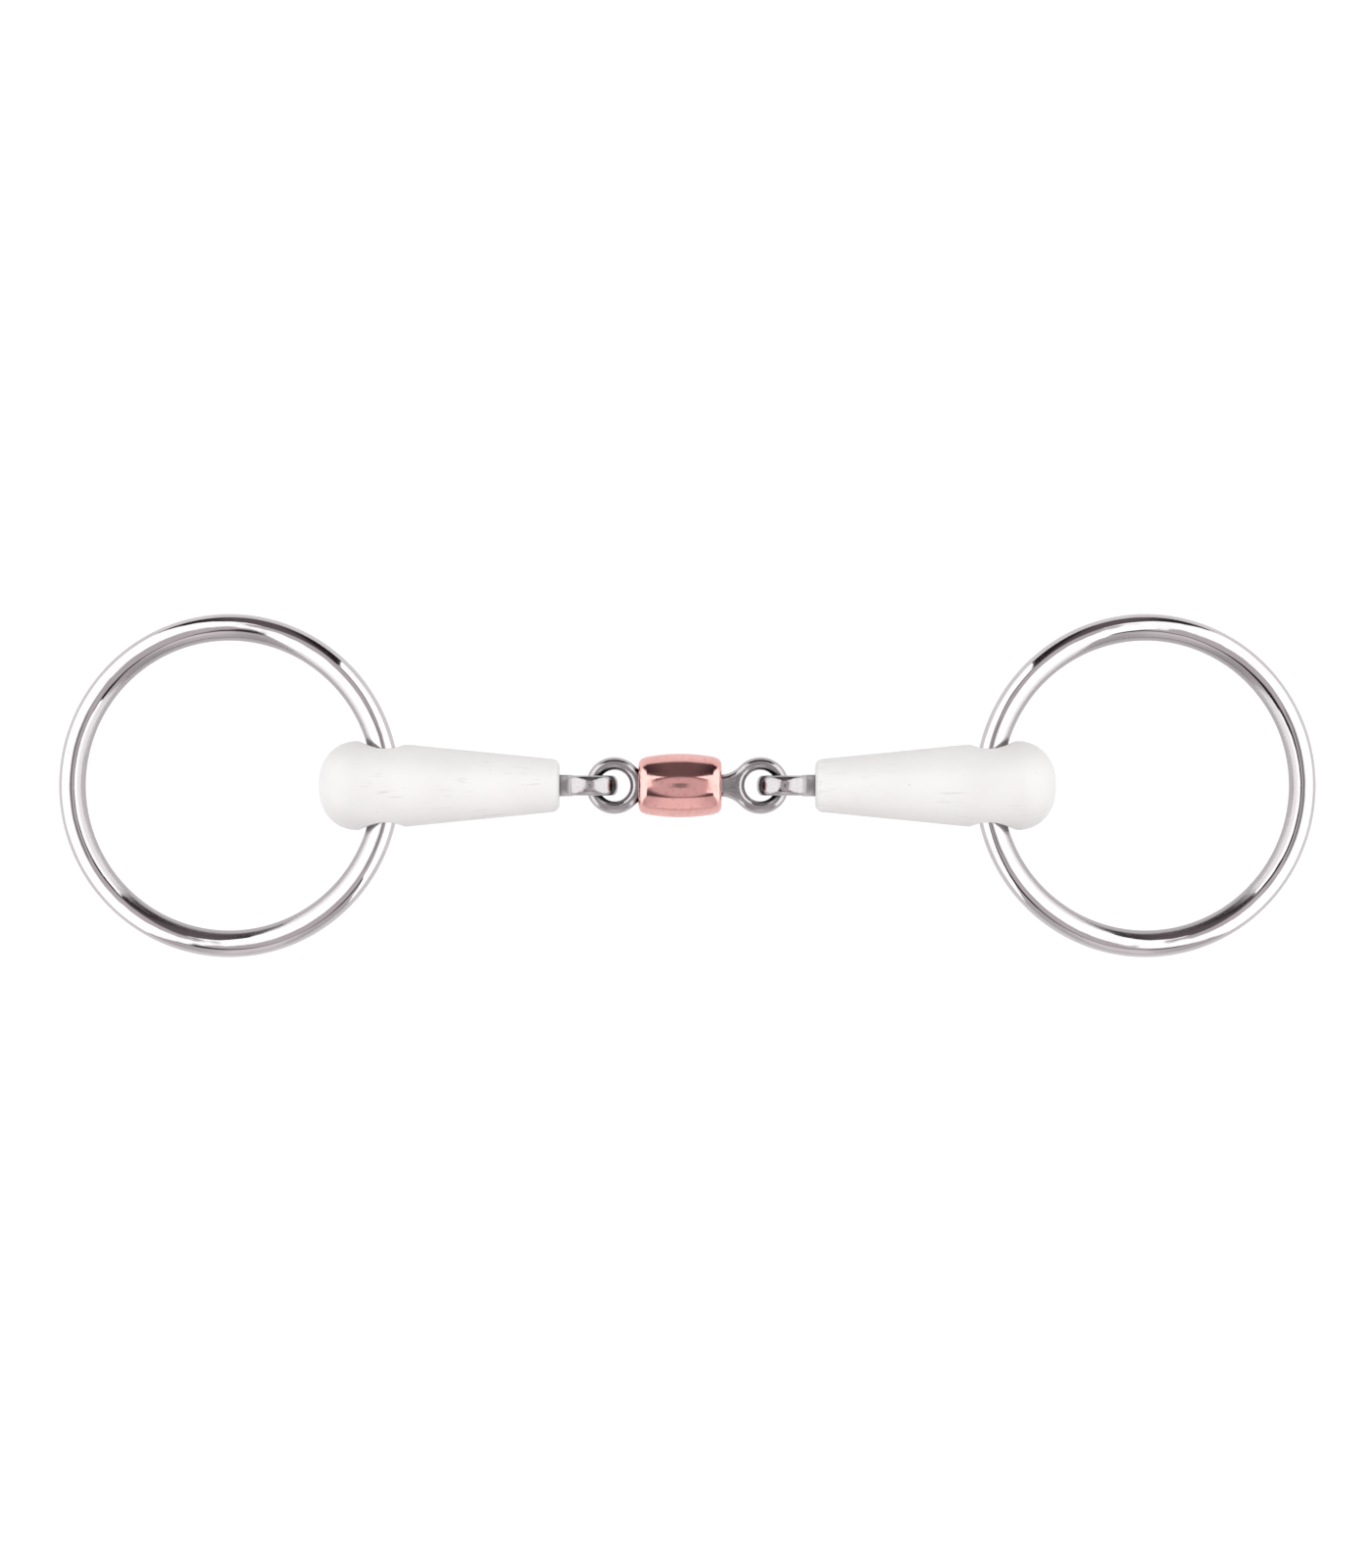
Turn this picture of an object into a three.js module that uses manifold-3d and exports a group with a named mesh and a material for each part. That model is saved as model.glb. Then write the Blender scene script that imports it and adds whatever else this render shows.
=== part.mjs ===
// Double-jointed loose-ring snaffle bit.
//
// The bit lies flat. +X runs along the mouthpiece towards the right-hand ring, +Y runs across it
// and +Z points up. The origin is the middle of the centre link. All sizes are millimetres.
//
// Each half of the bit (link eye, cannon, ring) is described once, in a frame whose +X points
// away from the centre link. The left half is that same half turned half a turn about Z.

import * as THREE from 'three';
import { mergeVertices } from 'three/addons/utils/BufferGeometryUtils.js';
import Module from 'manifold-3d';

const wasm = await Module();
wasm.setup();

// ---------------------------------------------------------------- driving sizes

// Loose rings: round wire bent to a circle and welded shut.
const wireRadius = 2.95;
const ringInnerRadius = 31.75;
const ringRadius = ringInnerRadius + wireRadius;

// Eyes of the centre link and of the cannons, all of one pattern.
const eyeOuterRadius = 6.22;
const eyeHoleRadius = 3.43;
const eyeThickness = 4.4;
const eyeRound = { across: 1.05, along: 1.3 };
const linkEyeX = 16;
const eyeToEye = 5.4;
const cannonEyeX = linkEyeX + eyeToEye;

// Centre link: necks that flare into the eyes, and a round spindle between them.
const neckHalfWidth = 2.4;
const neckFlareLength = 9;
const spindleRadius = 2.4;
const linkSplitX = 5;
const socketRadius = 1.5;
const socketDepth = 8;

// Copper roller: a barrel with a dished mouth at each end of its bore.
const rollerLength = 18.2;
const rollerMiddleRadius = 7;
const rollerBarrelDrop = 1.05;
const rollerCorner = 1.2;
const rollerBore = 2.9;
const rollerMouth = { radius: 4.3, depth: 4 };
const rollerShift = -1.6;

// Cannon sleeve: plastic, tapering from a bulb round the ring hole to a flat inner face.
const faceX = cannonEyeX + 6.6;
const sleeveLength = 52.7;
const tipX = faceX + sleeveLength;
const faceRadius = 5.85;
const faceCorner = 1.4;
const shoulder = { fromTip: 19.4, radius: 8.98 };
const bulb = { fromTip: 9.2, radius: 9.75, fullness: 2.25 };

// Ring hole: a straight bore across the cannon whose mouths flare.
const holeX = tipX - 14;
const holeRadius = 4;
const holeFlare = 1;

// Cannon core: steel bar moulded into the sleeve, with a loop round the ring hole.
const shankWidth = 6;
const shankThickness = 4.7;
const shankStartX = faceX - 3;
const shankCorner = 0.6;
const loopOuterRadius = 7.3;
const loopInnerRadius = 5.2;

// Gap kept between two pieces that are moulded or pressed together.
const seatGap = 0.3;

// At rest each ring hangs down from its hole until its wire is level with the bulb's underside.
const wireInset = 0.75;
const ringReach = 2 * ringRadius - wireInset;
const ringDroop = Math.asin((bulb.radius - wireRadius) / ringReach);

// ---------------------------------------------------------------- materials

function polishedSteel() {
  return new THREE.MeshStandardMaterial({ color: 0xdad8da, roughness: 0.08, metalness: 1 });
}

function castSteel() {
  return new THREE.MeshStandardMaterial({ color: 0xa9a6a8, roughness: 0.3, metalness: 1 });
}

function whitePlastic() {
  return new THREE.MeshStandardMaterial({ color: 0xecebea, roughness: 0.35, metalness: 0 });
}

function copper() {
  return new THREE.MeshStandardMaterial({ color: 0xd9988c, roughness: 0.2, metalness: 1 });
}

// ---------------------------------------------------------------- solids

// A closed geometry as a manifold solid.
function toSolid(geometry) {
  const loose = geometry.index ? geometry.toNonIndexed() : geometry.clone();
  loose.deleteAttribute('normal');
  loose.deleteAttribute('uv');
  const welded = mergeVertices(loose, 1e-4);
  const triangles = [];
  const corners = welded.index.array;
  for (let i = 0; i < corners.length; i += 3) {
    const [a, b, c] = corners.slice(i, i + 3);
    if (a !== b && b !== c && c !== a) triangles.push(a, b, c);
  }
  return new wasm.Manifold(new wasm.Mesh({
    numProp: 3,
    vertProperties: welded.attributes.position.array,
    triVerts: new Uint32Array(triangles),
  }));
}

// A manifold solid as a geometry.
function toGeometry(solid) {
  const mesh = solid.getMesh();
  const geometry = new THREE.BufferGeometry();
  geometry.setAttribute('position', new THREE.BufferAttribute(mesh.vertProperties, 3));
  geometry.setIndex(new THREE.BufferAttribute(mesh.triVerts, 1));
  return geometry;
}

// Points along an arc, both ends included.
function arc(x, y, radius, from, to, steps) {
  return Array.from({ length: steps + 1 }, (_, i) => {
    const angle = from + (to - from) * i / steps;
    return new THREE.Vector2(x + radius * Math.cos(angle), y + radius * Math.sin(angle));
  });
}

// A profile of (radius, distance along X) points turned about the X axis.
function turnedAboutX(profile, segments) {
  const geometry = new THREE.LatheGeometry(profile, segments);
  geometry.rotateZ(-Math.PI / 2);
  return geometry;
}

// A round bar along X.
function roundBar(radius, fromX, toX, segments = 24) {
  const profile = [
    new THREE.Vector2(0, fromX),
    new THREE.Vector2(radius, fromX),
    new THREE.Vector2(radius, toX),
    new THREE.Vector2(0, toX),
  ];
  return turnedAboutX(profile, segments);
}

// A flat bar along X, with rounded long edges: width runs along Z and thickness along Y.
function flatBar(width, thickness, corner, fromX, toX) {
  const w = width / 2 - corner;
  const t = thickness / 2 - corner;
  const quarter = Math.PI / 2;
  const outline = new THREE.Shape([
    ...arc(w, t, corner, 0, quarter, 3),
    ...arc(-w, t, corner, quarter, 2 * quarter, 3),
    ...arc(-w, -t, corner, 2 * quarter, 3 * quarter, 3),
    ...arc(w, -t, corner, 3 * quarter, 4 * quarter, 3),
  ]);
  const geometry = new THREE.ExtrudeGeometry(outline, { depth: toX - fromX, bevelEnabled: false });
  geometry.rotateY(Math.PI / 2);
  geometry.translate(fromX, 0, 0);
  return geometry;
}

// An eye centred on the origin in the XY plane, with a neck that leaves it along +X. Concave
// arcs, tangent to both, join the eye to the neck, and every rim is rounded over.
function eyeWithNeck(neckHalf, flareLength, neckLength) {
  const flare = (flareLength ** 2 + neckHalf ** 2 - eyeOuterRadius ** 2)
    / (2 * (eyeOuterRadius - neckHalf));
  const meet = Math.atan2(neckHalf + flare, flareLength);
  const outline = new THREE.Shape([
    ...arc(0, 0, eyeOuterRadius, meet, 2 * Math.PI - meet, 28),
    ...arc(flareLength, -neckHalf - flare, flare, Math.PI - meet, Math.PI / 2, 5).slice(1),
    new THREE.Vector2(neckLength, -neckHalf),
    new THREE.Vector2(neckLength, neckHalf),
    ...arc(flareLength, neckHalf + flare, flare, -Math.PI / 2, meet - Math.PI, 5).slice(0, -1),
  ]);
  outline.holes.push(new THREE.Path(arc(0, 0, eyeHoleRadius, 0, 2 * Math.PI, 24).slice(1)));
  const depth = eyeThickness - 2 * eyeRound.along;
  const geometry = new THREE.ExtrudeGeometry(outline, {
    depth,
    bevelThickness: eyeRound.along,
    bevelSize: eyeRound.across,
    bevelOffset: -eyeRound.across,
    bevelSegments: 3,
  });
  geometry.translate(0, 0, -depth / 2);
  return geometry;
}

// ---------------------------------------------------------------- loose ring

function ringGeometry() {
  return new THREE.TorusGeometry(ringRadius, wireRadius, 12, 64);
}

// ---------------------------------------------------------------- cannon

// The outside of the sleeve, solid: flat inner face, straight taper, bulb and blunt round tip.
function sleeveBody() {
  const bulbX = tipX - bulb.fromTip;
  const power = 2 / bulb.fullness;
  const steps = 9;
  const tip = Array.from({ length: steps }, (_, i) => {
    const angle = Math.PI / 2 * i / steps;
    return new THREE.Vector2(
      bulb.radius * Math.cos(angle) ** power,
      bulbX + bulb.fromTip * Math.sin(angle) ** power,
    );
  });
  const profile = [
    new THREE.Vector2(0, faceX),
    ...arc(faceRadius - faceCorner, faceX + faceCorner, faceCorner, -Math.PI / 2, 0, 4),
    new THREE.Vector2(shoulder.radius, tipX - shoulder.fromTip),
    ...tip,
    new THREE.Vector2(0, tipX),
  ];
  return turnedAboutX(profile, 36);
}

// The ring hole as a solid to cut away, its axis along Y.
function ringHole() {
  const reach = 11;
  const steps = 10;
  const wall = Array.from({ length: steps + 1 }, (_, i) => {
    const y = -reach + 2 * reach * i / steps;
    return new THREE.Vector2(holeRadius + holeFlare * (y / bulb.radius) ** 4, y);
  });
  const profile = [new THREE.Vector2(0, -reach), ...wall, new THREE.Vector2(0, reach)];
  const geometry = new THREE.LatheGeometry(profile, 24);
  geometry.translate(holeX, 0, 0);
  return geometry;
}

// The part of the core inside the sleeve, larger all round by grow. The shank starts at fromX.
function buriedCore(grow, fromX) {
  const shank = flatBar(
    shankWidth + 2 * grow, shankThickness + 2 * grow, shankCorner + grow, fromX, holeX,
  );
  const disc = new THREE.CylinderGeometry(
    loopOuterRadius + grow, loopOuterRadius + grow, eyeThickness + 2 * grow, 32,
  );
  const opening = new THREE.CylinderGeometry(
    loopInnerRadius - grow, loopInnerRadius - grow, 2 * loopOuterRadius, 32,
  );
  disc.translate(holeX, 0, 0);
  opening.translate(holeX, 0, 0);
  return toSolid(shank).add(toSolid(disc)).subtract(toSolid(opening));
}

function sleeveGeometry() {
  const solid = toSolid(sleeveBody())
    .subtract(toSolid(ringHole()))
    .subtract(buriedCore(seatGap, faceX - 1));
  return toGeometry(solid);
}

// The eye stands on edge, so that it can pass through the link's eye, which lies flat.
function coreGeometry() {
  const eye = eyeWithNeck(shankWidth / 2, faceX - cannonEyeX, faceX - cannonEyeX);
  eye.rotateX(Math.PI / 2);
  eye.translate(cannonEyeX, 0, 0);
  return toGeometry(toSolid(eye).add(buriedCore(0, shankStartX)));
}

// ---------------------------------------------------------------- centre link

// The eye of one half of the link with its neck, centred on its place in the outward frame.
function linkEye() {
  const eye = eyeWithNeck(neckHalfWidth, neckFlareLength, neckFlareLength);
  eye.rotateZ(Math.PI);
  eye.translate(linkEyeX, 0, 0);
  return toSolid(eye);
}

// The half that carries the spindle. A blind socket in the spindle's end takes the other half.
function socketHalfGeometry() {
  const spindle = roundBar(spindleRadius, -linkSplitX, linkEyeX - neckFlareLength + 0.5);
  const socket = roundBar(socketRadius, -linkSplitX - 1, -linkSplitX + socketDepth, 16);
  return toGeometry(linkEye().add(toSolid(spindle)).subtract(toSolid(socket)));
}

// The half that is pressed on once the roller is in place: a short shoulder with a pin.
function pinHalfGeometry() {
  const shoulderX = linkSplitX + seatGap;
  const stub = roundBar(spindleRadius, shoulderX, linkEyeX - neckFlareLength + 0.5);
  const pinEndX = linkSplitX - socketDepth + seatGap;
  const pin = roundBar(socketRadius - seatGap, pinEndX, linkEyeX - neckFlareLength, 16);
  return toGeometry(linkEye().add(toSolid(stub)).add(toSolid(pin)));
}

// ---------------------------------------------------------------- copper roller

function rollerGeometry() {
  const half = rollerLength / 2;
  const endRadius = rollerMiddleRadius - rollerBarrelDrop;
  const barrel = (half ** 2 + rollerBarrelDrop ** 2) / (2 * rollerBarrelDrop);
  const spread = Math.asin((half - rollerCorner) / barrel);
  const cornerX = half - rollerCorner;
  const cornerY = endRadius - rollerCorner + 0.2;
  const profile = [
    new THREE.Vector2(rollerBore, -half + rollerMouth.depth),
    new THREE.Vector2(rollerMouth.radius, -half),
    ...arc(cornerY, -cornerX, rollerCorner, -Math.PI / 2, -Math.PI / 8, 3),
    ...arc(rollerMiddleRadius - barrel, 0, barrel, -spread, spread, 8),
    ...arc(cornerY, cornerX, rollerCorner, Math.PI / 8, Math.PI / 2, 3),
    new THREE.Vector2(rollerMouth.radius, half),
    new THREE.Vector2(rollerBore, half - rollerMouth.depth),
    new THREE.Vector2(rollerBore, -half + rollerMouth.depth),
  ];
  return turnedAboutX(profile, 32);
}

// ---------------------------------------------------------------- assembly

function named(name, geometry, material) {
  const mesh = new THREE.Mesh(geometry, material);
  mesh.name = name;
  return mesh;
}

// One cannon with its ring, in the frame whose +X points away from the link.
function sideGroup(side) {
  const group = new THREE.Group();
  group.add(named(`${side}_sleeve`, sleeveGeometry(), whitePlastic()));
  group.add(named(`${side}_core`, coreGeometry(), castSteel()));

  const swivel = new THREE.Group();
  swivel.position.set(holeX, 0, 0);
  swivel.rotation.y = ringDroop;
  const ring = named(`${side}_ring`, ringGeometry(), polishedSteel());
  ring.position.x = ringRadius - wireInset;
  swivel.add(ring);
  group.add(swivel);
  return group;
}

const bit = new THREE.Group();

const rightSide = sideGroup('right');
rightSide.add(named('right_link_half', pinHalfGeometry(), castSteel()));
bit.add(rightSide);

const leftSide = sideGroup('left');
leftSide.rotation.z = Math.PI;
leftSide.add(named('left_link_half', socketHalfGeometry(), castSteel()));
bit.add(leftSide);

const roller = named('copper_roller', rollerGeometry(), copper());
roller.position.x = rollerShift;
bit.add(roller);

export default bit;
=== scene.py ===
"""The looks of a double-jointed loose-ring snaffle bit.

Every piece is described in millimetres in an outward frame, whose +X points away from the centre
link, and is then turned to its own side and scaled to metres. Cast and moulded pieces are fields
that are negative inside the piece; turned and bent ones are swept outlines.
"""

import math

import bpy
import numpy as np
from mathutils import Matrix, Vector


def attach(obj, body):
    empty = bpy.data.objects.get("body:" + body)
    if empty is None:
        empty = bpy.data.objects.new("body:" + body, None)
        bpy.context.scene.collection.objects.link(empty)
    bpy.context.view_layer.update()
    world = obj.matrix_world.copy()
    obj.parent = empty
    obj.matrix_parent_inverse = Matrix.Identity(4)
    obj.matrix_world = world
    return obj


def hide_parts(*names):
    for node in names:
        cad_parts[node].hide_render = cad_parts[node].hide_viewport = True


MM = 0.001

# What the name of a material adds to the name of its slot.
FINISH = "_finish"

# ---------------------------------------------------------------- driving sizes, millimetres

WIRE_RADIUS = 2.95
RING_RADIUS = 31.75 + WIRE_RADIUS
WIRE_INSET = 0.75
WIRE_LEAN = 0.13

EYE_OUTER = 6.22
EYE_HOLE = 3.43
EYE_THICKNESS = 4.4
EYE_FULLNESS = 2.3
LINK_EYE_X = 16.0
CANNON_EYE_X = 21.4

NECK_HALF = 2.4
NECK_FLARE = 9.0
SPINDLE_RADIUS = 2.4
SPLIT_X = 5.0
SOCKET_RADIUS = 1.5
SOCKET_DEPTH = 8.0

ROLLER_LENGTH = 18.2
ROLLER_RADIUS = 7.0
ROLLER_DROP = 1.05
ROLLER_CORNER = 1.6
ROLLER_BORE = 2.9
ROLLER_MOUTH_RADIUS = 4.3
ROLLER_MOUTH_DEPTH = 4.0
ROLLER_LIP = 0.35
ROLLER_SHIFT = -1.6

FACE_X = CANNON_EYE_X + 6.6
TIP_X = FACE_X + 52.7
FACE_RADIUS = 5.85
FACE_CORNER = 1.7
SHOULDER_X = TIP_X - 19.4
SHOULDER_RADIUS = 8.98
BULB_DEPTH = 9.2
BULB_X = TIP_X - BULB_DEPTH
BULB_RADIUS = 9.75
BULB_FULLNESS = 2.25

HOLE_X = TIP_X - 14
HOLE_RADIUS = 4.0
HOLE_FLARE = 1.0
LIP_ROUND = 0.3

SHANK_HALF_WIDTH = 3.0
SHANK_HALF_THICKNESS = 2.35
SHANK_CORNER = 0.6
LOOP_OUTER = 7.3
LOOP_INNER = 5.2
SNUG = 0.08
PRESS_GAP = 0.3
SPINDLE_END = LINK_EYE_X - NECK_FLARE + 1
CORE_FILLET = 0.15
LINK_FILLET = 0.6
EDGE_ROUND = 0.12

FLOOR_LEVEL = -120
FLOOR_HALF = 1500
PANEL_INNER_X = 272
PANEL_TOP = 800
PANEL_OUTER_X = 1048
WING_START = 376
WING_TIP = (195, 590, 957)
WING_END = 600
PANEL_STRENGTH = 1.6
OVERHEAD_LEVEL = 700
OVERHEAD_STRENGTH = 3.05
LENS_LEVEL = 2400
CAMERA_AT = (-0.3, 0.34, 2384.2)

RING_REACH = 2 * RING_RADIUS - WIRE_INSET
RING_DROOP = math.asin((BULB_RADIUS - WIRE_RADIUS) / RING_REACH)


# ---------------------------------------------------------------- fields

def rounded_meet(a, b, radius):
    """What lies inside both fields, with their common edge rounded."""
    beyond = np.hypot(np.maximum(a + radius, 0), np.maximum(b + radius, 0))
    return np.minimum(np.maximum(a, b) + radius, 0) + beyond - radius


def filleted_join(a, b, radius):
    """What lies inside either field, with their common corner filleted."""
    return -rounded_meet(-a, -b, radius)


def sleeve_outside(x, y, z):
    """The sleeve's outer skin: flat inner face, straight taper, bulb and blunt tip."""
    radial = np.hypot(y, z)
    spans = [FACE_X + FACE_CORNER, SHOULDER_X, BULB_X, TIP_X]
    radii = [FACE_RADIUS, SHOULDER_RADIUS, BULB_RADIUS, BULB_RADIUS + 0.7]
    taper = radial - np.interp(x, spans, radii)
    past = np.maximum(x - BULB_X, 0) / BULB_DEPTH
    crest = BULB_RADIUS + 0.06
    swell = (radial / crest) ** BULB_FULLNESS + past ** BULB_FULLNESS
    tip = crest * (swell ** (1 / BULB_FULLNESS) - 1)
    side = rounded_meet(taper, tip, 0.25)
    return rounded_meet(side, FACE_X - x, FACE_CORNER)


def ring_hole(x, y, z):
    """Negative in the hole: a straight bore across the cannon whose mouths flare."""
    bore = HOLE_RADIUS + HOLE_FLARE * (np.abs(y) / BULB_RADIUS) ** 4
    return np.hypot(x - HOLE_X, z) - bore


def buried_core(x, y, z, grow):
    """The shank and the loop round the ring hole, larger all round by grow."""
    shank = rounded_meet(
        np.abs(z) - SHANK_HALF_WIDTH - grow,
        np.abs(y) - SHANK_HALF_THICKNESS - grow,
        SHANK_CORNER + grow,
    )
    shank = rounded_meet(shank, np.maximum(FACE_X - 3 - x, x - HOLE_X), 0.3)
    from_hole = np.hypot(x - HOLE_X, z)
    disc = np.maximum(from_hole - LOOP_OUTER - grow, np.abs(y) - EYE_THICKNESS / 2 - grow)
    return np.maximum(np.minimum(shank, disc), LOOP_INNER - grow - from_hole)


def sleeve_field(x, y, z):
    skin = rounded_meet(sleeve_outside(x, y, z), -ring_hole(x, y, z), LIP_ROUND)
    return rounded_meet(skin, -buried_core(x, y, z, SNUG), EDGE_ROUND)


def eye_outline(u, v, neck_half, flare_length):
    """An eye centred on the origin of the plane (u, v), whose neck along +u flares into it."""
    rho = np.hypot(u, v)
    side = np.abs(v)
    flare = (flare_length ** 2 + neck_half ** 2 - EYE_OUTER ** 2) / (2 * (EYE_OUTER - neck_half))
    meet = math.atan2(neck_half + flare, flare_length)
    meet_u = EYE_OUTER * math.cos(meet)
    meet_v = EYE_OUTER * math.sin(meet)
    slope = (meet_v - neck_half) / (flare_length - meet_u)
    chord = (side - neck_half - slope * (flare_length - u)) / math.hypot(1, slope)
    off_flare = flare - np.hypot(u - flare_length, side - neck_half - flare)
    web = np.maximum.reduce([chord, off_flare, u - flare_length, -u])
    neck = np.maximum(side - neck_half, -u)
    outline = np.minimum.reduce([rho - EYE_OUTER, web, neck])
    return np.maximum(outline, EYE_HOLE - rho)


def eye_section(outline, across):
    """Gives an outline its thickness, with sides as round as the eye's wire."""
    half_wire = (EYE_OUTER - EYE_HOLE) / 2
    near_edge = np.maximum(1 + outline / half_wire, 0)
    through = np.abs(across) / (EYE_THICKNESS / 2)
    swell = near_edge ** EYE_FULLNESS + through ** EYE_FULLNESS
    return half_wire * (swell ** (1 / EYE_FULLNESS) - 1)


def core_field(x, y, z):
    """The cannon's core: an eye on edge, its flat neck, and the shank inside the sleeve."""
    outline = eye_outline(x - CANNON_EYE_X, z, SHANK_HALF_WIDTH, FACE_X - CANNON_EYE_X)
    outline = np.maximum(outline, x - FACE_X - 1)
    return filleted_join(eye_section(outline, y), buried_core(x, y, z, 0), CORE_FILLET)


def link_eye(x, y, z):
    """An eye that lies flat, its neck running inwards to the spindle."""
    outline = eye_outline(LINK_EYE_X - x, y, NECK_HALF, NECK_FLARE)
    outline = np.maximum(outline, LINK_EYE_X - NECK_FLARE - 2.5 - x)
    return eye_section(outline, z)


def round_bar(x, y, z, radius, start, end):
    return np.maximum(np.hypot(y, z) - radius, np.maximum(start - x, x - end))


def spindle_bar(x, y, z, start):
    """The spindle, tapering away where it runs into the neck of the eye."""
    taper_start = SPINDLE_END - 3
    taper = 0.3 * np.maximum(x - taper_start, 0)
    return round_bar(x, y, z, SPINDLE_RADIUS, start, SPINDLE_END) + taper


def socket_half_field(x, y, z):
    """The link half that carries the spindle, with a blind socket in the spindle's end."""
    spindle = spindle_bar(x, y, z, -SPLIT_X)
    body = filleted_join(link_eye(x, y, z), spindle, LINK_FILLET)
    socket = round_bar(x, y, z, SOCKET_RADIUS, -SPLIT_X - 5, SOCKET_DEPTH - SPLIT_X)
    return np.maximum(body, -socket)


def pin_half_field(x, y, z):
    """The link half with the pin, pressed on once the roller is in place."""
    shoulder = spindle_bar(x, y, z, SPLIT_X + PRESS_GAP)
    pin_end = SPLIT_X - SOCKET_DEPTH + PRESS_GAP
    pin = round_bar(x, y, z, SOCKET_RADIUS - PRESS_GAP, pin_end, SPINDLE_END)
    return filleted_join(link_eye(x, y, z), np.minimum(shoulder, pin), LINK_FILLET)


# ---------------------------------------------------------------- meshes

def field_slope(field, points):
    """The gradient of a field at each point."""
    reach = 0.02
    slope = np.empty_like(points)
    for axis in range(3):
        step = np.zeros(3)
        step[axis] = reach
        slope[:, axis] = field(*(points + step).T) - field(*(points - step).T)
    return slope / (2 * reach)


def skin_of(field, low, high, step):
    """Corner points and quads of the surface on which a field is zero, by surface nets."""
    axes = [np.arange(lo - 2.3 * step, hi + 3.1 * step, step) for lo, hi in zip(low, high)]
    inside = field(*np.meshgrid(*axes, indexing="ij")) < 0
    count = sum(
        inside[i:inside.shape[0] - 1 + i, j:inside.shape[1] - 1 + j, k:inside.shape[2] - 1 + k]
        .astype(np.int8)
        for i in (0, 1) for j in (0, 1) for k in (0, 1)
    )
    crossed = (count > 0) & (count < 8)
    number = np.full(crossed.shape, -1)
    number[crossed] = np.arange(crossed.sum())
    cells = np.argwhere(crossed)
    points = np.stack([axes[a][cells[:, a]] + step / 2 for a in range(3)], axis=1)
    for _ in range(8):
        value = field(*points.T)
        slope = field_slope(field, points)
        size = np.maximum((slope ** 2).sum(1), 0.05)
        move = -(value / size)[:, None] * slope
        reach = np.maximum(np.linalg.norm(move, axis=1) / (0.6 * step), 1)
        points += move / reach[:, None]

    quads = []
    for axis in range(3):
        u, v = (axis + 1) % 3, (axis + 2) % 3
        turned = np.moveaxis(inside, (axis, u, v), (0, 1, 2))
        cell = np.moveaxis(number, (axis, u, v), (0, 1, 2))
        here = turned[:-1, 1:-1, 1:-1]
        there = turned[1:, 1:-1, 1:-1]
        i, j, k = np.nonzero(here != there)
        quad = np.stack(
            [cell[i, j, k], cell[i, j + 1, k], cell[i, j + 1, k + 1], cell[i, j, k + 1]], axis=1
        )
        leaving = here[i, j, k]
        quads.append(np.where(leaving[:, None], quad, quad[:, ::-1]))
    return points, np.concatenate(quads)


def placed(points, turn):
    """Points in millimetres, moved by a 4x4 matrix in millimetres and scaled to metres."""
    matrix = np.array(turn)
    return (points @ matrix[:3, :3].T + matrix[:3, 3]) * MM


def mesh_of(name, points, faces, turn, normals=None):
    mesh = bpy.data.meshes.new(name)
    mesh.from_pydata(placed(points, turn).tolist(), [], faces.tolist())
    mesh.polygons.foreach_set("use_smooth", [True] * len(mesh.polygons))
    mesh.update()
    if normals is not None:
        turned = normals @ np.array(turn)[:3, :3].T
        mesh.normals_split_custom_set_from_vertices(turned.tolist())
    return mesh


def field_mesh(name, field, low, high, step, turn):
    points, quads = skin_of(field, low, high, step)
    normals = field_slope(field, points)
    normals /= np.maximum(np.linalg.norm(normals, axis=1), 1e-6)[:, None]
    return mesh_of(name, points, quads, turn, normals)


def wrapped_grid(rows, columns):
    """Quads of a grid of points that closes on itself both ways."""
    i, j = np.meshgrid(np.arange(rows), np.arange(columns), indexing="ij")
    i, j = i.ravel(), j.ravel()
    down, across = (i + 1) % rows, (j + 1) % columns
    corners = [i * columns + j, down * columns + j, down * columns + across, i * columns + across]
    return np.stack(corners, axis=1)


def ring_mesh(name, turn):
    """Wire bent to a circle, a little flatter on its inner side. Its UV map is in metres."""
    along, around = 384, 48
    angle = np.repeat(np.arange(along) * 2 * math.pi / along, around)
    tilt = np.tile(np.arange(around) * 2 * math.pi / around, along)
    reach = RING_RADIUS + WIRE_RADIUS * (np.cos(tilt) + WIRE_LEAN * np.sin(tilt) ** 2)
    points = np.stack(
        [reach * np.cos(angle), reach * np.sin(angle), WIRE_RADIUS * np.sin(tilt)], axis=1
    )
    mesh = mesh_of(name, points, wrapped_grid(along, around), turn)
    uv = mesh.uv_layers.new(name="wire")
    for polygon in mesh.polygons:
        row, column = divmod(polygon.index, around)
        spots = [(row, column), (row + 1, column), (row + 1, column + 1), (row, column + 1)]
        for loop, (r, c) in zip(polygon.loop_indices, spots):
            uv.data[loop].uv = (
                r / along * 2 * math.pi * RING_RADIUS * MM,
                c / around * 2 * math.pi * WIRE_RADIUS * MM,
            )
    return mesh


def arc(x, y, radius, start, end, steps):
    angle = np.linspace(start, end, steps)
    return np.stack([x + radius * np.cos(angle), y + radius * np.sin(angle)], axis=1)


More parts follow.
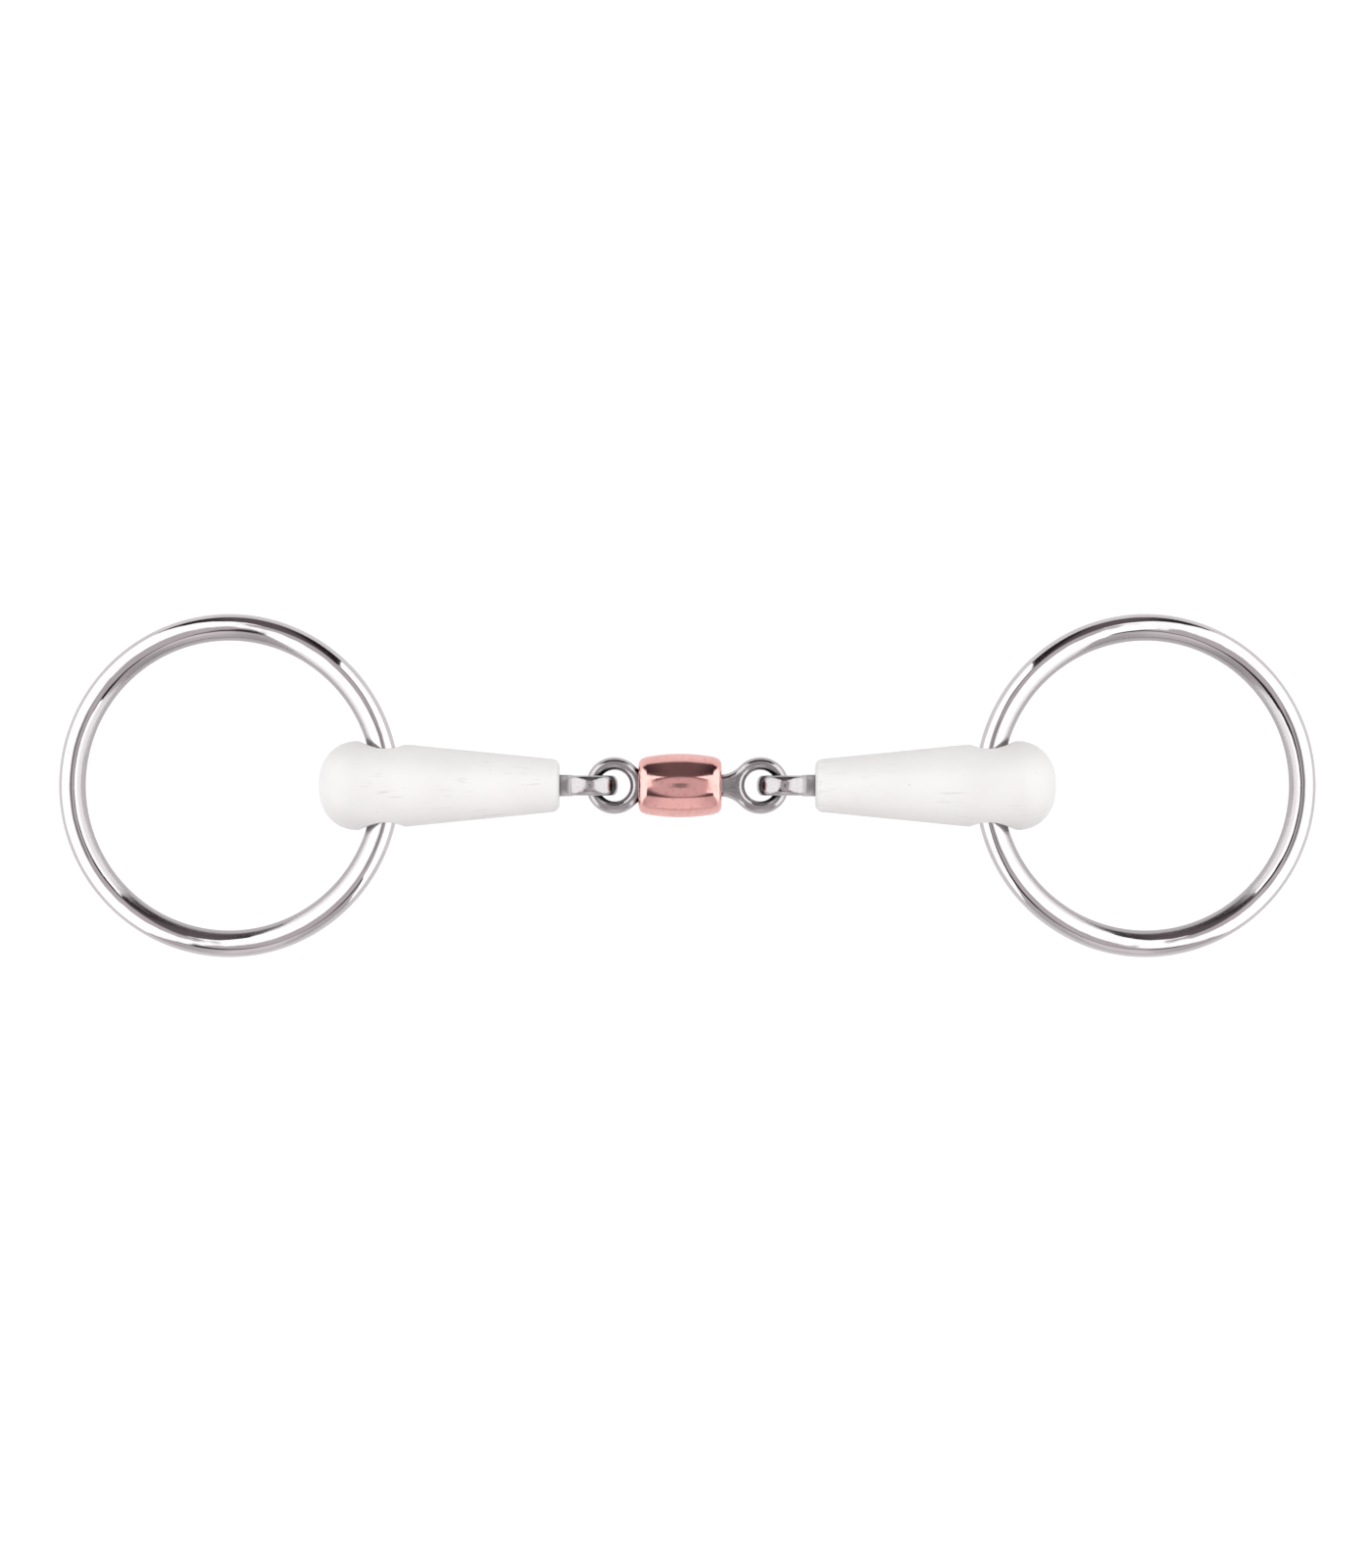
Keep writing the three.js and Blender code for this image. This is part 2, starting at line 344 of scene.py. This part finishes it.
def roller_mesh(name, turn):
    """A barrel turned about X, with rounded ends and a dished mouth at each end of its bore."""
    half = ROLLER_LENGTH / 2
    barrel = (half ** 2 + ROLLER_DROP ** 2) / (2 * ROLLER_DROP)
    end_x = half - ROLLER_CORNER
    end_radius = ROLLER_RADIUS - ROLLER_DROP - ROLLER_CORNER + 0.2
    lean = math.asin((end_x - 0.1) / barrel)
    quarter = math.pi / 2
    right = np.concatenate([
        arc(0, ROLLER_RADIUS - barrel, barrel, quarter, quarter - lean, 40),
        arc(end_x, end_radius, ROLLER_CORNER, quarter - lean - 0.08, 0, 12),
        arc(half - ROLLER_LIP, ROLLER_MOUTH_RADIUS + ROLLER_LIP, ROLLER_LIP, 0, -quarter - 0.6, 6),
    ])
    bore = np.array([
        [half - ROLLER_MOUTH_DEPTH + 0.5, ROLLER_BORE + 0.12],
        [half - ROLLER_MOUTH_DEPTH, ROLLER_BORE],
        [1.0, ROLLER_BORE],
    ])
    right = np.concatenate([right, bore])
    left = right[::-1] * [-1, 1]
    outline = np.concatenate([right, left[:-1]])
    columns = 160
    angle = np.arange(columns) * 2 * math.pi / columns
    x = np.repeat(outline[:, 0], columns)
    radius = np.repeat(outline[:, 1], columns)
    spin = np.tile(angle, len(outline))
    points = np.stack([x, radius * np.cos(spin), radius * np.sin(spin)], axis=1)
    return mesh_of(name, points, wrapped_grid(len(outline), columns), turn)


# ---------------------------------------------------------------- material helpers

def add_node(tree, kind, inputs=None, **settings):
    """A shader node. Each input is a value or another node's output socket."""
    node = tree.nodes.new("ShaderNode" + kind)
    for key, value in settings.items():
        setattr(node, key, value)
    for key, value in (inputs or {}).items():
        if isinstance(value, bpy.types.NodeSocket):
            tree.links.new(value, node.inputs[key])
        else:
            node.inputs[key].default_value = value
    return node


def stretched(tree, vector, scale):
    mapping = add_node(tree, "Mapping", {"Vector": vector, "Scale": scale})
    return mapping.outputs["Vector"]


def noise(tree, vector, scale, detail=3.0, roughness=0.5):
    node = add_node(
        tree, "TexNoise",
        {"Vector": vector, "Scale": scale, "Detail": detail, "Roughness": roughness},
    )
    return node.outputs["Fac"]


def remap(tree, value, low, high, to_low=0.0, to_high=1.0, smooth=False):
    node = add_node(
        tree, "MapRange",
        {"Value": value, "From Min": low, "From Max": high, "To Min": to_low, "To Max": to_high},
        interpolation_type="SMOOTHSTEP" if smooth else "LINEAR",
    )
    return node.outputs["Result"]


def math_node(tree, operation, a, b=0.0, c=0.0):
    node = add_node(tree, "Math", {0: a, 1: b, 2: c}, operation=operation)
    return node.outputs[0]


def plus(tree, a, b):
    return math_node(tree, "ADD", a, b)


def times(tree, a, b):
    return math_node(tree, "MULTIPLY", a, b)


def axis_part(tree, vector, axis):
    return add_node(tree, "SeparateXYZ", {0: vector}).outputs[axis]


def distance_along(tree, vector, axis):
    """How far a point lies from the middle of the axis, whichever side it is on."""
    return math_node(tree, "ABSOLUTE", axis_part(tree, vector, axis))


def mixed(tree, share, a, b):
    """A colour between a and b."""
    node = add_node(tree, "Mix", {0: share, 6: a, 7: b}, data_type="RGBA")
    return node.outputs[2]


def bump(tree, height, distance, strength=1.0, under=None):
    inputs = {"Height": height, "Distance": distance, "Strength": strength}
    if under is not None:
        inputs["Normal"] = under
    return add_node(tree, "Bump", inputs).outputs["Normal"]


def new_finish(slot):
    """An empty material for one of the record's slots."""
    material = bpy.data.materials.new(slot + FINISH)
    material.use_nodes = True
    tree = material.node_tree
    return tree, tree.nodes["Principled BSDF"]


def feed(tree, shader, **inputs):
    """Sets or links the inputs of a Principled shader. Underscores stand for spaces."""
    for key, value in inputs.items():
        socket = shader.inputs[key.replace("_", " ")]
        if isinstance(value, bpy.types.NodeSocket):
            tree.links.new(value, socket)
        else:
            socket.default_value = value


# ---------------------------------------------------------------- materials

def ring_steel():
    """Mirror-polished stainless wire: faint waves, hairlines, small pits, and a rougher, satiny
    inner side whose darker colour is painted shade.
    """
    tree, shader = new_finish("ring_steel")
    coordinates = add_node(tree, "TexCoord")
    wire = coordinates.outputs["UV"]
    space = coordinates.outputs["Object"]
    smudge = noise(tree, space, 90, 4)
    hairline = noise(tree, stretched(tree, wire, (60, 9000, 1)), 1, 3)
    pit = remap(tree, noise(tree, space, 2600, 2), 0.70, 0.78)
    scratch = remap(tree, noise(tree, stretched(tree, wire, (250, 7000, 1)), 1, 1), 0.66, 0.74)
    wave = noise(tree, space, 160, 1)
    angle = times(tree, axis_part(tree, wire, "Y"), 1 / (WIRE_RADIUS * MM))
    outward = math_node(tree, "COSINE", angle)
    # The inner side is rougher, a real satiny finish, and its colour is darkened there as painted
    # shade.
    satin_and_shade = remap(tree, outward, -0.48, -0.66, smooth=True)
    rough = remap(tree, smudge, 0.35, 0.75, 0.03, 0.09)
    rough = plus(tree, rough, times(tree, scratch, 0.10))
    rough = plus(tree, rough, times(tree, satin_and_shade, 0.17))
    height = plus(tree, hairline, times(tree, pit, -2.5))
    height = plus(tree, height, times(tree, scratch, -0.6))
    normal = bump(tree, wave, 0.00035, 0.25)
    normal = bump(tree, height, 0.0000035, 0.5, normal)
    shade = remap(tree, smudge, 0.3, 0.7)
    color = mixed(tree, shade, (0.62, 0.60, 0.61, 1), (0.68, 0.66, 0.67, 1))
    # Painted shade: the inner side of the wire is coloured darker.
    color = mixed(tree, times(tree, satin_and_shade, 0.8), color, (0.47, 0.445, 0.455, 1))
    color = mixed(tree, pit, color, (0.45, 0.42, 0.43, 1))
    feed(tree, shader, Base_Color=color, Metallic=1.0, Roughness=rough, Normal=normal)


def cast_steel():
    """Cast stainless: fine grain, painted shade in corners and on the cannon eye tips, matt next
    to the sleeve.
    """
    tree, shader = new_finish("cast_steel")
    space = add_node(tree, "TexCoord").outputs["Object"]
    grain = noise(tree, space, 2600, 4, 0.6)
    patch = noise(tree, space, 260, 3)
    scratch = remap(tree, noise(tree, stretched(tree, space, (400, 2600, 2600)), 1, 2), 0.62, 0.72)
    # Painted shade: ambient occlusion finds corners and recesses, which are coloured near black
    # and made rougher.
    corner = add_node(tree, "AmbientOcclusion", {"Distance": 0.0022}, samples=6).outputs["AO"]
    unshaded_share = remap(tree, corner, 0.3, 0.9)
    from_middle = distance_along(tree, space, "X")
    # Painted shade: the cannon eye tips, shaded by the link eye and the roller, are coloured near
    # black, except within the thickness of the flat link eye.
    tip = CANNON_EYE_X - EYE_OUTER
    painted_tip_shade = remap(tree, from_middle, (tip + 2.3) * MM, (tip + 1.5) * MM, smooth=True)
    link_top = EYE_THICKNESS / 2
    off_link = remap(tree, distance_along(tree, space, "Z"), link_top * MM, (link_top + 0.5) * MM)
    painted_tip_shade = times(tree, painted_tip_shade, off_link)
    matt_from = (CANNON_EYE_X + 3.9) * MM
    matt = remap(tree, from_middle, matt_from, matt_from + 0.0004, smooth=True)
    rough = remap(tree, patch, 0.3, 0.7, 0.13, 0.24)
    rough = plus(tree, rough, remap(tree, unshaded_share, 0, 1, 0.14, 0.0))
    rough = plus(tree, rough, times(tree, scratch, 0.08))
    rough = plus(tree, rough, times(tree, matt, 0.35))
    height = plus(tree, grain, times(tree, scratch, -0.5))
    normal = bump(tree, noise(tree, space, 420, 2), 0.00016, 0.5)
    normal = bump(tree, height, 0.000005, 0.5, normal)
    shade = remap(tree, grain, 0.3, 0.7)
    color = mixed(tree, shade, (0.48, 0.46, 0.47, 1), (0.55, 0.53, 0.54, 1))
    color = mixed(tree, matt, color, (0.68, 0.655, 0.665, 1))
    # Painted shade on the cannon eye tips.
    color = mixed(tree, times(tree, painted_tip_shade, 0.85), color, (0.10, 0.09, 0.095, 1))
    # Painted shade in corners and recesses.
    color = mixed(tree, unshaded_share, (0.07, 0.063, 0.066, 1), color)
    feed(tree, shader, Base_Color=color, Metallic=1.0, Roughness=rough, Normal=normal)


def sleeve_plastic():
    """White moulded plastic, satin, with a few specks and, short of the tip, lengthwise scuffs."""
    tree, shader = new_finish("sleeve_plastic")
    space = add_node(tree, "TexCoord").outputs["Object"]
    lengthwise = noise(tree, stretched(tree, space, (70, 1500, 1500)), 1, 3)
    scuff_area = remap(tree, noise(tree, space, 110, 2), 0.48, 0.62)
    from_middle = distance_along(tree, space, "X")
    short_of_tip = remap(tree, from_middle, (TIP_X - 4) * MM, BULB_X * MM, smooth=True)
    scuff_area = times(tree, scuff_area, short_of_tip)
    scuff = times(tree, remap(tree, lengthwise, 0.60, 0.68), scuff_area)
    speck = remap(tree, noise(tree, space, 1500, 1), 0.78, 0.80)
    grain = noise(tree, space, 3000, 2)
    swell = noise(tree, space, 60, 2)
    shade = remap(tree, swell, 0.35, 0.65)
    color = mixed(tree, shade, (0.73, 0.72, 0.712, 1), (0.765, 0.756, 0.748, 1))
    color = mixed(tree, times(tree, scuff, 0.6), color, (0.60, 0.58, 0.58, 1))
    color = mixed(tree, times(tree, speck, 0.5), color, (0.42, 0.39, 0.38, 1))
    rough = remap(tree, swell, 0.3, 0.7, 0.32, 0.42)
    rough = plus(tree, rough, times(tree, scuff, 0.2))
    height = plus(tree, grain, times(tree, lengthwise, 1.5))
    height = plus(tree, height, times(tree, scuff, -1.5))
    normal = bump(tree, height, 0.00002, 0.5)
    feed(
        tree, shader,
        Base_Color=color, Roughness=rough, Normal=normal, IOR=1.49,
        Subsurface_Weight=0.15, Subsurface_Radius=(1.0, 0.9, 0.85), Subsurface_Scale=0.001,
    )


def roller_copper():
    """Polished pink copper: fine grain, turning marks round the barrel, wear towards its ends."""
    tree, shader = new_finish("roller_copper")
    space = add_node(tree, "TexCoord").outputs["Object"]
    turned = noise(tree, stretched(tree, space, (5200, 260, 260)), 1, 3)
    patch = noise(tree, space, 260, 4)
    dull = remap(tree, noise(tree, space, 900, 3), 0.55, 0.75)
    off_centre = math_node(tree, "SUBTRACT", axis_part(tree, space, "X"), ROLLER_SHIFT * MM)
    from_middle = math_node(tree, "ABSOLUTE", off_centre)
    half = ROLLER_LENGTH / 2
    worn = remap(tree, from_middle, (half - 3.6) * MM, (half - 0.3) * MM, smooth=True)
    rough = remap(tree, patch, 0.3, 0.7, 0.08, 0.14)
    rough = plus(tree, rough, times(tree, worn, 0.03))
    rough = plus(tree, rough, times(tree, dull, 0.05))
    grain = noise(tree, space, 7000, 2)
    height = plus(tree, turned, times(tree, patch, 1.5))
    height = plus(tree, height, times(tree, grain, 0.35))
    normal = bump(tree, height, 0.000012, 0.35)
    shade = remap(tree, patch, 0.3, 0.7)
    color = mixed(tree, shade, (0.89, 0.475, 0.435, 1), (0.95, 0.535, 0.50, 1))
    color = mixed(tree, times(tree, dull, 0.4), color, (0.55, 0.26, 0.21, 1))
    feed(tree, shader, Base_Color=color, Metallic=1.0, Roughness=rough, Normal=normal)


# ---------------------------------------------------------------- pieces

def show(mesh, slot, node, body):
    """Puts a mesh in the scene in place of a CAD node, with the finish of a material slot."""
    piece = bpy.data.objects.new(mesh.name, mesh)
    bpy.context.scene.collection.objects.link(piece)
    mesh.materials.append(bpy.data.materials[slot + FINISH])
    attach(piece, body)
    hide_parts(node)


def build_side(side, half_turns, link_field):
    """One half of the bit: ring, sleeve, core and link eye."""
    turn = Matrix.Rotation(half_turns * math.pi, 4, "Z")
    hang = (
        turn
        @ Matrix.Translation((HOLE_X, 0, 0))
        @ Matrix.Rotation(RING_DROOP, 4, "Y")
        @ Matrix.Translation((RING_RADIUS - WIRE_INSET, 0, 0))
    )
    fine = 0.3
    ring = ring_mesh(f"{side}_ring_wire", hang)
    show(ring, "ring_steel", f"{side}_ring", f"{side}_loose_ring")

    low = (FACE_X, -BULB_RADIUS, -BULB_RADIUS)
    high = (TIP_X, BULB_RADIUS, BULB_RADIUS)
    sleeve = field_mesh(f"{side}_cannon_sleeve", sleeve_field, low, high, fine, turn)
    show(sleeve, "sleeve_plastic", f"{side}_sleeve", f"{side}_cannon")

    low = (CANNON_EYE_X - EYE_OUTER, -EYE_THICKNESS / 2 - 0.3, -LOOP_OUTER)
    high = (HOLE_X + LOOP_OUTER, EYE_THICKNESS / 2 + 0.3, LOOP_OUTER)
    core = field_mesh(f"{side}_cannon_core", core_field, low, high, fine * 0.7, turn)
    show(core, "cast_steel", f"{side}_core", f"{side}_cannon")

    low = (-SPLIT_X, -EYE_OUTER, -SPINDLE_RADIUS)
    high = (LINK_EYE_X + EYE_OUTER, EYE_OUTER, SPINDLE_RADIUS)
    link = field_mesh(f"{side}_link_eye", link_field, low, high, fine * 0.7, turn)
    show(link, "cast_steel", f"{side}_link_half", "centre_link")


# ---------------------------------------------------------------- studio

def emission(name, strength):
    material = bpy.data.materials.new(name)
    material.use_nodes = True
    tree = material.node_tree
    tree.nodes.remove(tree.nodes["Principled BSDF"])
    glow = add_node(tree, "Emission", {"Color": (1, 1, 1, 1), "Strength": strength})
    output = tree.nodes["Material Output"]
    tree.links.new(glow.outputs[0], output.inputs["Surface"])
    return material


def level_corners(half_width, near, far, level):
    """The corners of a level rectangle that lies evenly to both sides of the middle."""
    return [
        (-half_width, near, level), (half_width, near, level),
        (half_width, far, level), (-half_width, far, level),
    ]


def flat_sheet(name, corners, material):
    mesh = bpy.data.meshes.new(name)
    mesh.from_pydata([Vector(c) * MM for c in corners], [], [tuple(range(len(corners)))])
    mesh.materials.append(material)
    sheet = bpy.data.objects.new(name, mesh)
    bpy.context.scene.collection.objects.link(sheet)
    return sheet


def softbox(name, corners, strength):
    """A flat glowing panel that lights the bit and shows in reflections, but not to the camera."""
    panel = flat_sheet(name, corners, emission(name, strength))
    panel.visible_camera = False
    panel.visible_shadow = False
    return panel


def pale_floor():
    """A plain pale floor, below all that folds down. The camera sees it lifted close to white."""
    material = bpy.data.materials.new("pale_floor")
    material.use_nodes = True
    tree = material.node_tree
    shader = tree.nodes["Principled BSDF"]
    feed(tree, shader, Base_Color=(0.70, 0.68, 0.69, 1), Roughness=0.6)
    shader.inputs["Specular IOR Level"].default_value = 0.1
    lift = add_node(tree, "Emission", {"Color": (1, 1, 1, 1), "Strength": 1.09})
    rays = add_node(tree, "LightPath")
    share = times(tree, rays.outputs["Is Camera Ray"], 0.88)
    share = math_node(tree, "MULTIPLY_ADD", rays.outputs["Is Glossy Ray"], 0.2, share)
    mix = add_node(tree, "MixShader", {0: share, 1: shader.outputs[0], 2: lift.outputs[0]})
    tree.links.new(mix.outputs[0], tree.nodes["Material Output"].inputs["Surface"])
    corners = level_corners(FLOOR_HALF, -FLOOR_HALF, FLOOR_HALF, FLOOR_LEVEL)
    flat_sheet("floor", corners, material)


def studio_world():
    """A dim room with a mauve ceiling over the bit and a pale band low down at the front.

    The ceiling is an ellipse of directions that is cut off towards the back. Where a direction
    leads sideways, the cut is softer, the rest of the room darker and the band less bright. The
    camera itself sees only white.
    """
    world = bpy.data.worlds.new("studio")
    bpy.context.scene.world = world
    world.use_nodes = True
    tree = world.node_tree
    direction = add_node(tree, "TexCoord").outputs["Generated"]
    parts = add_node(tree, "SeparateXYZ", {0: direction})
    along, away, up = (parts.outputs[axis] for axis in "XYZ")
    spread = add_node(
        tree, "VectorMath",
        {0: stretched(tree, direction, (1 / 0.37, 1 / 0.60, 0)), 1: (0.09, -0.13, 0)},
        operation="DISTANCE",
    ).outputs["Value"]
    sideways = remap(tree, math_node(tree, "ABSOLUTE", along), 0.1, 0.35, smooth=True)
    cut_end = remap(tree, sideways, 0, 1, 0.64, 0.46)
    cut_start = remap(tree, sideways, 0, 1, 0.40, 0.1)
    ceiling = remap(tree, spread, 1.08, 0.92, smooth=True)
    ceiling = times(tree, ceiling, remap(tree, away, cut_end, cut_start, smooth=True))
    ceiling = times(tree, ceiling, remap(tree, up, 0.3, 0.4))
    brim = remap(tree, away, 0.05, -0.4, -0.1, 0.69, smooth=True)
    low = remap(tree, math_node(tree, "SUBTRACT", brim, up), -0.03, 0.03, smooth=True)
    color = mixed(tree, sideways, (0.15, 0.125, 0.135, 1), (0.03, 0.022, 0.026, 1))
    color = mixed(tree, ceiling, color, (0.65, 0.597, 0.62, 1))
    band = mixed(tree, sideways, (0.90, 0.85, 0.87, 1), (0.60, 0.568, 0.582, 1))
    color = mixed(tree, low, color, band)
    seen = add_node(tree, "LightPath").outputs["Is Camera Ray"]
    color = mixed(tree, seen, color, (1, 1, 1, 1))
    background = tree.nodes["Background"]
    tree.links.new(color, background.inputs["Color"])


def side_light(name, side, near):
    """A panel that slopes from beside the camera down to the floor, out to one side.

    Its upper edge has a small wing that points inwards, and ends at near, towards the front.
    """
    corners = [
        (side * PANEL_INNER_X, near, PANEL_TOP),
        (side * PANEL_INNER_X, WING_START, PANEL_TOP),
        (side * WING_TIP[0], *WING_TIP[1:]),
        (side * PANEL_INNER_X, WING_END, PANEL_TOP),
        (side * PANEL_OUTER_X, 1477, FLOOR_LEVEL),
        (side * PANEL_OUTER_X, -1324, FLOOR_LEVEL),
        (side * 414, -499, 682),
    ]
    softbox(name, corners, PANEL_STRENGTH)


def build_studio():
    pale_floor()
    studio_world()
    side_light("left_light", -1, -20)
    side_light("right_light", 1, -400)
    overhead_corners = level_corners(150, 80, 680, OVERHEAD_LEVEL)
    overhead = softbox("overhead_light", overhead_corners, OVERHEAD_STRENGTH)
    overhead.visible_glossy = False
    softbox("dark_lens", level_corners(200, -340, 340, LENS_LEVEL), 0.25)


def build_camera():
    """Straight down on the bit, as far off as a 250 mm lens needs for the whole bit."""
    data = bpy.data.cameras.new("camera")
    data.lens = 250
    data.sensor_width = 36
    data.clip_start = 0.01
    camera = bpy.data.objects.new("camera", data)
    camera.location = Vector(CAMERA_AT) * MM
    bpy.context.scene.collection.objects.link(camera)
    bpy.context.scene.camera = camera


# ---------------------------------------------------------------- scene

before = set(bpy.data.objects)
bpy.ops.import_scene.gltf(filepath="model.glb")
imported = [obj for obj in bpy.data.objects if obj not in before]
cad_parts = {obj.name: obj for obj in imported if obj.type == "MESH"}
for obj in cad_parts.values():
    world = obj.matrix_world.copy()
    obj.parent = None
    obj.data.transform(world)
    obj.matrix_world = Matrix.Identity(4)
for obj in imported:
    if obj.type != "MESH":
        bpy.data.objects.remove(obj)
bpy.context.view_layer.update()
bpy.context.scene.view_settings.view_transform = "Standard"

ring_steel()
cast_steel()
sleeve_plastic()
roller_copper()
build_side("right", 0, pin_half_field)
build_side("left", 1, socket_half_field)
roller = roller_mesh("copper_roller_barrel", Matrix.Translation((ROLLER_SHIFT, 0, 0)))
show(roller, "roller_copper", "copper_roller", "roller")

build_studio()
build_camera()
